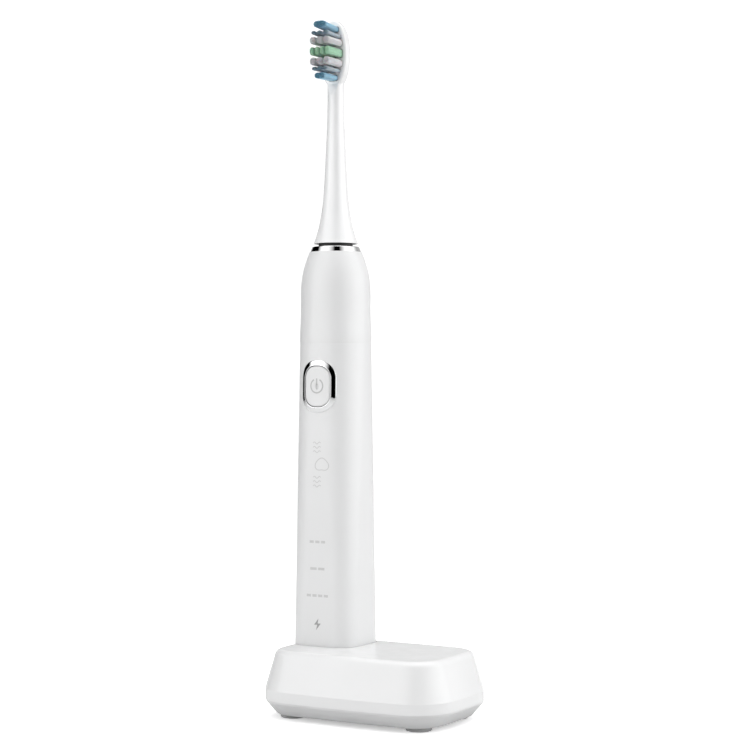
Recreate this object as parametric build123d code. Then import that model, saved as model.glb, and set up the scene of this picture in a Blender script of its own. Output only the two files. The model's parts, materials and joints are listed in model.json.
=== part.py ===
from build123d import *
import os

# Sonic toothbrush standing on its inductive charging base, as separate pieces, in millimetres.
#
# The origin is the middle of the base at the level its feet stand on. +X runs along the base, -Y is the
# side that the button and the bristles face, and +Z is up. The handle stands left of the middle and
# towards the back, round a short charging post. Heights on the handle and the brush head are given from
# the handle's own lower end, and seat() carries them to their place on the base.

# ---- charging base -------------------------------------------------------------------------------
BASE_WIDTH, BASE_DEPTH, BASE_CORNER = 80.8, 55.0, 16.0
BASE_BULGE = 2.0                  # how far each side bows out, measured to where its corners would meet
FOOT_HEIGHT = 1.6                 # how far the feet stand below the tray
SEAM_Z = 7.2                      # joint between tray and cover
BAND_TOP_Z = 11.2                 # the cover's upright band ends and its draft starts
BASE_TOP_Z = 26.2
COVER_DRAFT = 4.4                 # how far the cover leans in over its height, per side
COVER_ROUNDING = 2.8
TRAY_CHAMFER = 4.2                # how far the tray's rim leans in, per side
TRAY_LIP = 0.8                    # upright edge of the tray under the seam
TRAY_LIP_INSET = 0.35             # gives the seam its shadow line
BASE_WALL = 2.0
FOOT_RADIUS, FOOT_X, FOOT_Y, FOOT_POCKET = 5.0, 27.6, 14.6, 0.8
SCREW_PLACES = [(33.0, 0.0), (-33.0, -4.0), (0.0, 19.5), (0.0, -19.5)]
SCREW_RADIUS, SCREW_HEAD_RADIUS, SCREW_BOSS_RADIUS = 1.1, 2.1, 3.0
CHARGER_PCB_Z, CHARGER_PCB_THICKNESS = 8.6, 1.2
SPOOL_RADIUS = 8.4
USB_X, USB_Z = 18.0, 11.5

# ---- where the handle stands ---------------------------------------------------------------------
HANDLE_X, HANDLE_Y = -23.0, 9.2
SEAT_DEPTH, SEAT_GAP, SEAT_LIFT = 1.65, 0.35, 0.05
SEAT_FLOOR_Z = BASE_TOP_Z - SEAT_DEPTH
POST_RADIUS, POST_TOP_RADIUS, POST_HEIGHT, POST_WALL = 4.6, 4.2, 11.0, 1.1

# ---- handle: a rounded square whose corners grow until it is round, then a shoulder ---------------
HANDLE_HALF = 13.8
CORNER_BOTTOM, ROUND_Z = 7.7, 136.0
STRAIGHT_TOP = 120.0              # top of the plain ruled length that carries the button
SHOULDER = [(144.6, 13.5), (149.2, 12.7), (152.9, 11.6), (156.2, 10.35)]
HANDLE_TOP = SHOULDER[-1][0]
HANDLE_WALL = 1.6
CAVITY_TOP, CAVITY_TOP_HALF = 141.0, 11.9
NOSE_BORE = 9.0

# ---- button --------------------------------------------------------------------------------------
BUTTON_Z = 103.1
BEZEL_WIDTH, BEZEL_HEIGHT, BEZEL_CORNER = 15.3, 20.4, 6.9
BUTTON_WIDTH, BUTTON_HEIGHT, BUTTON_CORNER = 11.3, 15.8, 4.8
BEZEL_PROUD, BEZEL_SUNK = 1.15, 0.8
BUTTON_PROUD, BUTTON_SUNK, BUTTON_GAP = 1.1, 1.6, 0.25

# ---- neck, collar and head of the brush ----------------------------------------------------------
COLLAR_HEIGHT, COLLAR_RADIUS, COLLAR_TOP_RADIUS, COLLAR_BORE = 2.05, 10.1, 9.3, 6.95
NECK_BOTTOM = 159.55
NECK_CURVE = [(8.75, NECK_BOTTOM), (7.0, 165.0), (5.6, 172.0), (4.65, 181.6), (4.0, 194.0), (3.35, 210.0)]
NECK_SLIM, NECK_TOP = 3.25, 230.0
HEAD_Z, HEAD_HALF_HEIGHT, HEAD_HALF_WIDTH = 234.4, 13.5, 6.0
HEAD_FRONT_Y, HEAD_BACK_Y = -2.0, 2.9
BRISTLE_LENGTH, BRISTLE_ROOT = 10.9, 2.2
SHAFT_RADIUS, SHAFT_TOP = 1.9, 179.0
INSERT_RADIUS, INSERT_BOTTOM, INSERT_TOP = 3.2, 162.6, 178.0
RUNNING_GAP = 0.05

# ---- motor, battery and electronics --------------------------------------------------------------
MOTOR_RADIUS, MOTOR_WALL, MOTOR_BOTTOM, MOTOR_TOP = 6.8, 0.6, 96.0, 138.5
MOTOR_BORE = MOTOR_RADIUS - MOTOR_WALL
FLANGE_RADIUS, FLANGE_TOP = 10.2, 140.95
COIL_BOTTOM, COIL_TOP, COIL_INNER = 104.0, 126.0, 4.5
MAGNET_RADIUS, YOKE_RADIUS = 4.15, 2.7
BUSH_RADIUS, BUSH_LENGTH = 3.6, 4.0
BATTERY_RADIUS, BATTERY_BOTTOM, BATTERY_TOP, BATTERY_Y = 7.0, 34.0, 84.0, 1.4
PCB_FRONT_Y, PCB_THICKNESS, PCB_HALF_WIDTH, PCB_BOTTOM, PCB_TOP = -8.3, 1.0, 7.0, 17.9, 114.0
PCB_BACK_Y = PCB_FRONT_Y + PCB_THICKNESS
MODE_HEIGHTS = [42.4, 31.9, 21.4]
CHARGE_MARK_Z = 10.2
SOCKET_RADIUS, SOCKET_WALL, SOCKET_DEPTH = 5.0, 1.0, 12.4
CAP_THICKNESS, CAP_GAP = 1.6, 0.08

CUT = 1.0                         # how far a cutting tool runs past what it cuts

os.makedirs("parts", exist_ok=True)


def keep(name, shape):
    """Writes one node's STEP file."""
    export_step(shape, f"parts/{name}.step")


def seat(shape):
    """Carries a shape from the handle's own frame to its place on the base."""
    return Pos(HANDLE_X, HANDLE_Y, SEAT_FLOOR_Z + SEAT_LIFT) * shape


def disc(radius, low, high, x=0.0, y=0.0):
    """An upright cylinder between two heights."""
    return Pos(x, y, low) * extrude(Circle(radius), high - low)


def ring(outer, inner, low, high, x=0.0, y=0.0):
    return disc(outer, low, high, x, y) - disc(inner, low - CUT, high + CUT, x, y)


def block(x0, x1, y0, y1, z0, z1):
    return Pos((x0 + x1) / 2, (y0 + y1) / 2, (z0 + z1) / 2) * Box(x1 - x0, y1 - y0, z1 - z0)


def slab(size, corner, low, high):
    """An upright square block with rounded vertical edges."""
    return Pos(0, 0, low) * extrude(RectangleRounded(size, size, corner), high - low)


def front_prism(width, height, corner, z, y_back, y_front):
    """A rounded rectangle seen from the front, run along Y between two depths."""
    outline = Plane.XZ.offset(-y_back) * Pos(0, z) * RectangleRounded(width, height, corner)
    return extrude(outline, y_back - y_front)


# ==== charging base ===============================================================================
def base_outline(inset=0.0):
    """The base seen from above: four slightly bowed sides and round corners, set in all round."""
    half_x, half_y = BASE_WIDTH / 2, BASE_DEPTH / 2
    bow_x = half_y**2 / (2 * BASE_BULGE)
    bow_y = half_x**2 / (2 * BASE_BULGE)
    outline = Pos(half_x - bow_x, 0) * Circle(bow_x - inset) & Pos(bow_x - half_x, 0) * Circle(bow_x - inset)
    outline &= Pos(0, half_y - bow_y) * Circle(bow_y - inset)
    outline &= Pos(0, bow_y - half_y) * Circle(bow_y - inset)
    return fillet(outline.vertices(), BASE_CORNER - inset)


def base_block(inset, low, high):
    return extrude(Pos(0, 0, low) * base_outline(inset), high - low)


def base_taper(low_inset, low, high_inset, high):
    return loft([Pos(0, 0, low) * base_outline(low_inset), Pos(0, 0, high) * base_outline(high_inset)])


def usb_prism(width, height, y_back, y_front):
    """A long-round prism along Y at the power socket's place in the back wall."""
    outline = Plane.XZ.offset(-y_back) * Pos(USB_X, USB_Z) * RectangleRounded(width, height, height * 0.49)
    return extrude(outline, y_back - y_front)


def base_cover():
    """Upper shell with the handle's seat, the hollow charging post and four screw bosses."""
    ceiling = BASE_TOP_Z - BASE_WALL
    shell = base_block(0, SEAM_Z, BAND_TOP_Z) + base_taper(0, BAND_TOP_Z, COVER_DRAFT, BASE_TOP_Z)
    shell = fillet(shell.edges().group_by(Axis.Z)[-1], COVER_ROUNDING)
    lean = COVER_DRAFT * (ceiling - BAND_TOP_Z) / (BASE_TOP_Z - BAND_TOP_Z)
    hollow = base_block(BASE_WALL, SEAM_Z - CUT, BAND_TOP_Z)
    hollow += base_taper(BASE_WALL, BAND_TOP_Z, BASE_WALL + lean, ceiling)
    hollow -= Pos(HANDLE_X, HANDLE_Y) * slab(2 * HANDLE_HALF + 3, 9.2, SEAT_FLOOR_Z - BASE_WALL, BASE_TOP_Z)
    seat_size = 2 * (HANDLE_HALF + SEAT_GAP)
    shell = shell - hollow
    shell -= Pos(HANDLE_X, HANDLE_Y) * slab(seat_size, CORNER_BOTTOM + SEAT_GAP, SEAT_FLOOR_Z, BASE_TOP_Z + CUT)
    post = loft([Circle(POST_RADIUS), Pos(0, 0, POST_HEIGHT + 0.5) * Circle(POST_TOP_RADIUS)])
    post = fillet(post.edges().group_by(Axis.Z)[-1], 1.2)
    shell += Pos(HANDLE_X, HANDLE_Y, SEAT_FLOOR_Z - 0.5) * post
    core_top = SEAT_FLOOR_Z + POST_HEIGHT - POST_WALL
    shell -= disc(POST_RADIUS - POST_WALL, SEAM_Z, core_top, HANDLE_X, HANDLE_Y)
    for x, y in SCREW_PLACES:
        shell += disc(SCREW_BOSS_RADIUS, SEAM_Z, ceiling + 0.2, x, y)
        shell -= disc(SCREW_RADIUS - 0.15, SEAM_Z - CUT, SEAM_Z + 9.0, x, y)
    return shell - usb_prism(9.6, 3.9, BASE_DEPTH / 2 + CUT, BASE_DEPTH / 2 - 4.0)


def base_tray():
    """Lower shell: chamfered rim, floor with foot pockets, screw holes and rests for the board."""
    inset = TRAY_CHAMFER + TRAY_LIP_INSET
    lip_low = SEAM_Z - TRAY_LIP
    floor_top = FOOT_HEIGHT + BASE_WALL
    tray = base_taper(inset, FOOT_HEIGHT, TRAY_LIP_INSET, lip_low)
    tray = fillet(tray.edges().group_by(Axis.Z)[0], 0.8)
    tray += base_block(TRAY_LIP_INSET, lip_low, SEAM_Z)
    tray -= base_block(inset + 1.0, floor_top, SEAM_Z + CUT)
    for x, y in SCREW_PLACES:
        tray += disc(SCREW_BOSS_RADIUS, floor_top - 0.5, SEAM_Z - 0.02, x, y)
        tray -= disc(SCREW_HEAD_RADIUS + 0.15, FOOT_HEIGHT - CUT, FOOT_HEIGHT + 2.6, x, y)
        tray -= disc(SCREW_RADIUS + 0.15, FOOT_HEIGHT, SEAM_Z + CUT, x, y)
    for x, y in ((-11, -13), (-11, 13), (21, -13), (21, 12)):
        tray += disc(1.8, floor_top - 0.5, CHARGER_PCB_Z - 0.02, x, y)
    tray += ring(6.5, 4.5, floor_top - 0.5, CHARGER_PCB_Z - 0.02, HANDLE_X, HANDLE_Y)
    for x in (-FOOT_X, FOOT_X):
        for y in (-FOOT_Y, FOOT_Y):
            tray -= disc(FOOT_RADIUS + 0.1, FOOT_HEIGHT - CUT, FOOT_HEIGHT + FOOT_POCKET, x, y)
    return tray


def foot(x, y):
    """Non-slip pad in a shallow pocket of the tray."""
    pad = disc(FOOT_RADIUS, 0, FOOT_HEIGHT + FOOT_POCKET - 0.02, x, y)
    return fillet(pad.edges().group_by(Axis.Z)[0], 0.5)


def base_screws():
    """Four self-tapping screws, up through the tray into the cover's bosses."""
    screws = []
    for x, y in SCREW_PLACES:
        screw = disc(SCREW_HEAD_RADIUS, FOOT_HEIGHT + 1.0, FOOT_HEIGHT + 2.55, x, y)
        screw += disc(SCREW_RADIUS - 0.2, FOOT_HEIGHT + 2.5, SEAM_Z + 8.0, x, y)
        for half_x, half_y in ((1.4, 0.25), (0.25, 1.4)):
            screw -= block(x - half_x, x + half_x, y - half_y, y + half_y, FOOT_HEIGHT, FOOT_HEIGHT + 1.8)
        screws.append(screw)
    return Compound(children=screws)


def base_gasket():
    """Silicone cord round the inside of the wall, between tray and cover."""
    low, high = SEAM_Z + 0.02, SEAM_Z + 1.2
    return base_block(BASE_WALL + 0.1, low, high) - base_block(BASE_WALL + 1.5, low - CUT, high + CUT)


def charger_pcb():
    """Board with a tongue that carries the power socket at the back wall."""
    top = CHARGER_PCB_Z + CHARGER_PCB_THICKNESS
    board = block(-13.5, 24.0, -15.5, 15.5, CHARGER_PCB_Z, top)
    return board + block(USB_X - 6.0, USB_X + 6.0, 15.0, 24.0, CHARGER_PCB_Z, top)


def charger_components():
    """Controller, inductor, capacitors and small parts on the charger's board."""
    top = CHARGER_PCB_Z + CHARGER_PCB_THICKNESS
    parts = [block(0.0, 6.0, -6.0, 0.0, top, top + 1.1), ring(3.2, 1.2, top, top + 3.4, 13.0, -8.0)]
    parts += [disc(2.0, top, top + 5.5, x, 6.0) for x in (2.0, 8.0)]
    parts += [block(x, x + 2.0, -13.0, -11.8, top, top + 0.7) for x in (-9.0, -5.5, -2.0, 1.5)]
    return Compound(children=parts)


def usb_shell():
    """Metal shell of the power socket, standing on the board just inside the back wall."""
    y_back, y_front = BASE_DEPTH / 2 - 0.8, BASE_DEPTH / 2 - 8.0
    return usb_prism(9.0, 3.3, y_back, y_front) - usb_prism(8.3, 2.6, y_back + CUT, y_front + 0.4)


def usb_tongue():
    """Contact tongue in the middle of the power socket."""
    y_front = BASE_DEPTH / 2 - 7.6
    root = usb_prism(8.2, 2.5, y_front + 1.2, y_front)
    return root + block(USB_X - 3.2, USB_X + 3.2, y_front, BASE_DEPTH / 2 - 1.4, USB_Z - 0.35, USB_Z + 0.35)


SPOOL_LOW, SPOOL_HIGH = CHARGER_PCB_Z, SEAT_FLOOR_Z - BASE_WALL - 0.2


def primary_bobbin():
    """Spool under the seat that carries the charger's winding."""
    spool = ring(5.4, 3.7, SPOOL_LOW, SPOOL_HIGH, HANDLE_X, HANDLE_Y)
    for z in (SPOOL_LOW, SPOOL_HIGH - 1.0):
        spool += ring(SPOOL_RADIUS, 3.7, z, z + 1.0, HANDLE_X, HANDLE_Y)
    return spool


def primary_coil():
    return ring(SPOOL_RADIUS - 0.5, 5.5, SPOOL_LOW + 1.1, SPOOL_HIGH - 1.1, HANDLE_X, HANDLE_Y)


def ferrite_core():
    """Rod from the spool up into the hollow post."""
    top = SEAT_FLOOR_Z + POST_HEIGHT - POST_WALL - 0.2
    return disc(3.2, SPOOL_LOW, top, HANDLE_X, HANDLE_Y)


def coil_leads():
    """Two insulated wires from the spool to the board."""
    board = CHARGER_PCB_Z + CHARGER_PCB_THICKNESS + 0.05
    wires = []
    for y, z in ((HANDLE_Y - 2.0, board + 3.0), (HANDLE_Y + 1.0, board + 4.0)):
        path = FilletPolyline((HANDLE_X + 8.5, y, z), (-10.5, y, z), (-10.5, y, board), radius=1.5)
        wires.append(sweep((path ^ 0) * Circle(0.4), path))
    return Compound(children=wires)


# ==== handle ======================================================================================
def corner_at(z):
    """The corner radius of the handle's rounded square at a height."""
    return CORNER_BOTTOM + (HANDLE_HALF - CORNER_BOTTOM) * min(z / ROUND_Z, 0.995)


def section(z, half, corner):
    return Pos(0, 0, z) * RectangleRounded(2 * half, 2 * half, corner)


def straight_form(grow, low, high):
    """The handle's form over part of its straight length, grown or shrunk all round."""
    return loft([section(z, HANDLE_HALF + grow, corner_at(z) + grow) for z in (low, high)])


def handle_housing():
    """One-piece tube, open at the bottom and bored through its nose, with a hole for the button."""
    upper = [section(z, HANDLE_HALF, corner_at(z)) for z in (STRAIGHT_TOP, 128.0, ROUND_Z)]
    upper += [section(z, half, half * 0.995) for z, half in SHOULDER]
    body = straight_form(0, 0, STRAIGHT_TOP) + loft(upper)
    inner_top = section(CAVITY_TOP, CAVITY_TOP_HALF, CAVITY_TOP_HALF * 0.99)
    inner_half = HANDLE_HALF - HANDLE_WALL
    middle = section(STRAIGHT_TOP, inner_half, corner_at(STRAIGHT_TOP) - HANDLE_WALL)
    body -= loft([middle, inner_top])
    body -= straight_form(-HANDLE_WALL, 0, STRAIGHT_TOP)
    body -= disc(NOSE_BORE, CAVITY_TOP - CUT, HANDLE_TOP + CUT)
    opening = front_prism(
        BEZEL_WIDTH - 1.6, BEZEL_HEIGHT - 1.6, BEZEL_CORNER - 0.8, BUTTON_Z, -8.0, -HANDLE_HALF - CUT
    )
    return body - opening - skin_plate(BEZEL_WIDTH + 0.04, BEZEL_HEIGHT + 0.04, BEZEL_CORNER, -BEZEL_SUNK, 2.0)


def skin_plate(width, height, corner, under, over):
    """A plate that follows the handle's front between two depths, cut to a rounded rectangle."""
    prism = front_prism(width, height, corner, BUTTON_Z, -6.0, -HANDLE_HALF - 3.0)
    low, high = BUTTON_Z - BEZEL_HEIGHT, min(BUTTON_Z + BEZEL_HEIGHT, STRAIGHT_TOP)
    return prism & (straight_form(over, low, high) - straight_form(under, low, high))


def button_bezel():
    """Bright ring round the button: let into the housing, with a skirt through its wall."""
    plate = skin_plate(BEZEL_WIDTH, BEZEL_HEIGHT, BEZEL_CORNER, -BEZEL_SUNK, BEZEL_PROUD)
    skirt = front_prism(
        BEZEL_WIDTH - 1.7, BEZEL_HEIGHT - 1.7, BEZEL_CORNER - 0.85, BUTTON_Z, -10.85, -HANDLE_HALF + 0.7
    )
    hole = front_prism(
        BUTTON_WIDTH + 2 * BUTTON_GAP, BUTTON_HEIGHT + 2 * BUTTON_GAP, BUTTON_CORNER + BUTTON_GAP,
        BUTTON_Z, -5.0, -HANDLE_HALF - 4.0,
    )
    return plate + skirt - hole


def power_button():
    """Button cap with a stem that reaches back through the boot."""
    cap = skin_plate(BUTTON_WIDTH, BUTTON_HEIGHT, BUTTON_CORNER, -BUTTON_SUNK, BUTTON_PROUD)
    return cap + front_prism(4.0, 4.0, 1.2, BUTTON_Z, -9.85, -HANDLE_HALF + 1.0)


def switch_plunger():
    """The switch's small plunger, which moves with the button's stem."""
    return front_prism(2.0, 2.0, 0.99, BUTTON_Z, -9.15, -9.83)


def button_boot():
    """Elastomer box on the board round the switch, with a hole that the stem slides through."""
    boot = front_prism(12.4, 17.2, 5.0, BUTTON_Z, PCB_FRONT_Y - 0.02, -10.8)
    boot -= front_prism(10.4, 15.2, 4.0, BUTTON_Z, PCB_FRONT_Y + CUT, -10.1)
    return boot - front_prism(4.3, 4.3, 1.35, BUTTON_Z, -8.0, -12.0)


def tactile_switch():
    """Switch on the board, with a well for its plunger."""
    body = front_prism(5.0, 5.0, 0.4, BUTTON_Z, PCB_FRONT_Y, PCB_FRONT_Y - 1.0)
    return body - front_prism(2.3, 2.3, 1.14, BUTTON_Z, PCB_FRONT_Y - 0.25, PCB_FRONT_Y - 2.0)


def collar_ring():
    """Bright cone that finishes the handle's nose."""
    cone = loft([Circle(COLLAR_RADIUS), Pos(0, 0, COLLAR_HEIGHT) * Circle(COLLAR_TOP_RADIUS)])
    cone = fillet(cone.edges().group_by(Axis.Z)[-1], 0.3)
    return Pos(0, 0, HANDLE_TOP) * (cone - disc(COLLAR_BORE, -CUT, COLLAR_HEIGHT + CUT))


def seal_carrier():
    """Ring inside the nose, between the motor's flange and the shaft seal."""
    return ring(NOSE_BORE - 0.05, 4.4, FLANGE_TOP + 0.05, HANDLE_TOP - 2.0)


def shaft_seal():
    """Black elastomer dome round the shaft, filling the collar."""
    low, rim = HANDLE_TOP - 1.95, HANDLE_TOP + COLLAR_HEIGHT - 0.3
    crown = NECK_BOTTOM + 0.05
    seal = disc(COLLAR_BORE - 0.05, low, rim) + disc(COLLAR_BORE - 0.2, rim, crown)
    seal += Pos(0, 0, crown) * loft([Circle(COLLAR_BORE - 0.3), Pos(0, 0, 0.5) * Circle(4.0)])
    return seal - disc(SHAFT_RADIUS + 0.12, low - CUT, crown + 2)


def carrier_frame():
    """Moulded sled on the socket: a half shell behind battery and motor, and rails for the board."""
    low, high, rail_top = 17.5, 126.0, 110.0
    sled = ring(9.6, 8.4, low, high, 0, BATTERY_Y / 2) - block(-12, 12, -12, -1.0, low - CUT, high + CUT)
    for side in (-1, 1):
        rail = sorted((side * 8.0, side * 8.9))
        lip = sorted((side * 7.15, side * 8.1))
        sled += block(*rail, -8.4, 0.0, low, rail_top) + block(*lip, -7.2, -6.2, low, rail_top)
    sled += slab(16.0, 4.0, low, low + 1.5)
    sled += ring(8.6, 3.0, BATTERY_TOP + 3.0, BATTERY_TOP + 4.4, 0, BATTERY_Y / 2)
    sled -= disc(5.0, low - CUT, low + 3)
    sled += ring(6.8, 5.0, SOCKET_DEPTH + SOCKET_WALL + 0.02, low + 0.5)
    return sled - block(-PCB_HALF_WIDTH - 0.1, PCB_HALF_WIDTH + 0.1, -12, PCB_BACK_Y + 0.05, low, high)


def main_pcb():
    return block(-PCB_HALF_WIDTH, PCB_HALF_WIDTH, PCB_FRONT_Y, PCB_BACK_Y, PCB_BOTTOM, PCB_TOP)


def pcb_chips():
    """Controller, charge chip and small parts on the board."""
    front = PCB_FRONT_Y
    parts = [block(-3.0, 3.0, front - 1.0, front, 82.0, 88.0), block(-2.0, 2.0, front - 0.9, front, 68.0, 72.0)]
    for row in range(4):
        for x in (-4.6, 4.6):
            z = 58.0 + 4.0 * row
            parts.append(block(x - 0.8, x + 0.8, front - 0.6, front, z, z + 0.9))
    return Compound(children=parts)


def mode_leds():
    """Three mode lamps and the charging lamp on the board."""
    heights = [*MODE_HEIGHTS, PCB_BOTTOM + 0.8]
    return Compound(
        children=[block(-0.8, 0.8, PCB_FRONT_Y - 0.7, PCB_FRONT_Y, z - 0.4, z + 0.4) for z in heights]
    )


def light_guide():
    """Clear bar in front of the lamps, with a leg down to the charging mark."""
    back, front = PCB_FRONT_Y - 0.9, PCB_FRONT_Y - 2.6
    bar = block(-4.2, 4.2, front, back, PCB_BOTTOM, MODE_HEIGHTS[0] + 3.0)
    bar += block(-1.5, 1.5, front, back, CHARGE_MARK_Z - 2.0, PCB_BOTTOM + 0.5)
    for z in (26.6, 37.1):
        bar -= block(-4.6, 4.6, front - CUT, front + 1.0, z - 0.4, z + 0.4)
    return bar


def battery_cell():
    """Lithium cell with its raised contact."""
    cell = fillet(disc(BATTERY_RADIUS, BATTERY_BOTTOM, BATTERY_TOP, 0, BATTERY_Y).edges(), 0.5)
    return cell + disc(2.6, BATTERY_TOP - 0.1, BATTERY_TOP + 1.0, 0, BATTERY_Y)


def battery_tabs():
    """Nickel strips from the cell's ends to the back of the board."""
    tabs = []
    y = PCB_BACK_Y + 0.02
    for z, low, high in (
        (BATTERY_TOP + 1.02, BATTERY_TOP - 1.5, BATTERY_TOP + 1.2),
        (BATTERY_BOTTOM - 0.25, BATTERY_BOTTOM - 0.25, BATTERY_BOTTOM + 2.2),
    ):
        tabs.append(block(-2.0, 2.0, y, BATTERY_Y + 2.0, z, z + 0.2) + block(-2.0, 2.0, y, y + 0.2, low, high))
    return Compound(children=tabs)


def battery_pad():
    """Foam ring that keeps the cell from rattling."""
    return ring(6.0, 2.2, 30.0, BATTERY_BOTTOM - 0.3, 0, BATTERY_Y)


def motor_can():
    return ring(MOTOR_RADIUS, MOTOR_BORE, MOTOR_BOTTOM, MOTOR_TOP)


def motor_front_cap():
    """Flanged end cap that seats the front bush and bears on the shoulder in the nose."""
    cap = disc(FLANGE_RADIUS, MOTOR_TOP, FLANGE_TOP) + disc(MOTOR_BORE - 0.02, MOTOR_TOP - 3.0, MOTOR_TOP + 0.5)
    cap -= disc(BUSH_RADIUS, MOTOR_TOP - 1.5, FLANGE_TOP + CUT)
    return cap - disc(SHAFT_RADIUS + 0.5, MOTOR_TOP - 4.0, MOTOR_TOP)


def motor_rear_cap():
    cap = disc(MOTOR_BORE - 0.02, MOTOR_BOTTOM, MOTOR_BOTTOM + 5.0)
    return cap - disc(BUSH_RADIUS, MOTOR_BOTTOM + 1.0, MOTOR_BOTTOM + 5.0 + CUT)


def bush(low):
    """Bronze plain bearing for the shaft."""
    return ring(BUSH_RADIUS, SHAFT_RADIUS + RUNNING_GAP, low, low + BUSH_LENGTH)


def stator_core():
    """Soft-iron sleeve that closes the magnetic path round the winding."""
    return ring(MOTOR_BORE - 0.02, MOTOR_BORE - 0.5, COIL_BOTTOM - 1.0, COIL_TOP + 1.0)


def stator_coil():
    return ring(MOTOR_BORE - 0.55, COIL_INNER, COIL_BOTTOM, COIL_TOP)


def rotor_yoke():
    return ring(YOKE_RADIUS, SHAFT_RADIUS, COIL_BOTTOM + 1.0, COIL_TOP - 1.0)


def rotor_magnets():
    """Four arc magnets round the yoke."""
    sleeve = ring(MAGNET_RADIUS, YOKE_RADIUS, COIL_BOTTOM + 2.0, COIL_TOP - 2.0)
    sleeve -= block(-6, 6, -0.5, 0.5, COIL_BOTTOM, COIL_TOP)
    return sleeve - block(-0.5, 0.5, -6, 6, COIL_BOTTOM, COIL_TOP)


def drive_shaft():
    """Steel shaft from the rear bush into the brush head, with a flat that keys the head."""
    shaft = disc(SHAFT_RADIUS, MOTOR_BOTTOM + 1.3, SHAFT_TOP)
    shaft = chamfer(shaft.edges().group_by(Axis.Z)[-1], 0.4)
    return shaft - block(-3, 3, SHAFT_RADIUS - 0.4, 3, SHAFT_TOP - 12.0, SHAFT_TOP + CUT)


def bottom_cap():
    """Plug that closes the handle and forms the blind socket for the charging post."""
    half = HANDLE_HALF - HANDLE_WALL - CAP_GAP
    corner = CORNER_BOTTOM - HANDLE_WALL - CAP_GAP
    cap = slab(2 * half, corner, 0.0, CAP_THICKNESS)
    cap += slab(2 * half - 2.2, corner - 1.1, CAP_THICKNESS, 5.5)
    cap -= slab(2 * half - 4.6, corner - 2.3, CAP_THICKNESS, 6.5)
    cap += disc(SOCKET_RADIUS + SOCKET_WALL, 0.5, SOCKET_DEPTH + SOCKET_WALL)
    return cap - disc(SOCKET_RADIUS, -CUT, SOCKET_DEPTH)


def cap_seal():
    """Square ring that seals the plug in the housing."""
    half = HANDLE_HALF - HANDLE_WALL - CAP_GAP - 0.1
    corner = CORNER_BOTTOM - HANDLE_WALL - CAP_GAP - 0.1
    outer = slab(2 * half, corner, CAP_THICKNESS + 0.4, CAP_THICKNESS + 2.0)
    return outer - slab(2 * half - 1.96, corner - 0.98, CAP_THICKNESS, CAP_THICKNESS + 3.0)


def receiver_bobbin():
    """Spool round the socket that carries the handle's own winding."""
    inner = SOCKET_RADIUS + SOCKET_WALL + 0.05
    spool = ring(inner + 0.7, inner, 3.0, 13.0)
    for z in (3.0, 12.2):
        spool += ring(inner + 2.6, inner, z, z + 0.8)
    return spool


def receiver_coil():
    inner = SOCKET_RADIUS + SOCKET_WALL + 0.8
    return ring(inner + 1.6, inner, 3.85, 12.15)


# ==== brush head ==================================================================================
# Rows from the tip down: colour, height, (width, height) of one tuft, tilt in degrees, places along X
TUFT_ROWS = [
    ("blue", 243.9, (5.6, 2.6), 5.0, [0.0]),
    ("slate", 241.0, (2.1, 1.5), 3.0, [-2.75, 0.0, 2.75]),
    ("grey", 238.55, (2.7, 2.9), 0.5, [-3.1, 0.0, 3.1]),
    ("green", 234.5, (2.0, 3.3), 0.0, [-3.5, -1.15, 1.15, 3.5]),
    ("grey", 230.5, (2.7, 3.0), 0.0, [-3.1, 0.0, 3.1]),
    ("slate", 227.7, (2.1, 1.5), -0.5, [-2.45, 0.0, 2.45]),
    ("blue", 225.1, (4.6, 2.4), -1.5, [0.0]),
]


def tuft_row(row):
    """One row of tufts: rounded bundles that lean out a little towards the head's two ends."""
    _, z, (width, height), tilt, places = row
    tuft = extrude(Plane.XZ * RectangleRounded(width, height, min(width, height) * 0.4), BRISTLE_LENGTH + BRISTLE_ROOT)
    root_y = HEAD_FRONT_Y + BRISTLE_ROOT
    return Compound(children=[Pos(x, root_y, z) * Rot(-tilt, 0, 0) * tuft for x in places])


def tuft_anchors():
    """Flat metal staples that hold the tufts' folded roots in the head."""
    staples = []
    y = HEAD_FRONT_Y + BRISTLE_ROOT + 0.15
    for _, z, (width, _), _, places in TUFT_ROWS:
        half = min(width, 2.4) / 2 - 0.15
        staples += [block(x - half, x + half, y, y + 0.3, z - 0.5, z + 0.5) for x in places]
    return Compound(children=staples)


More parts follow.
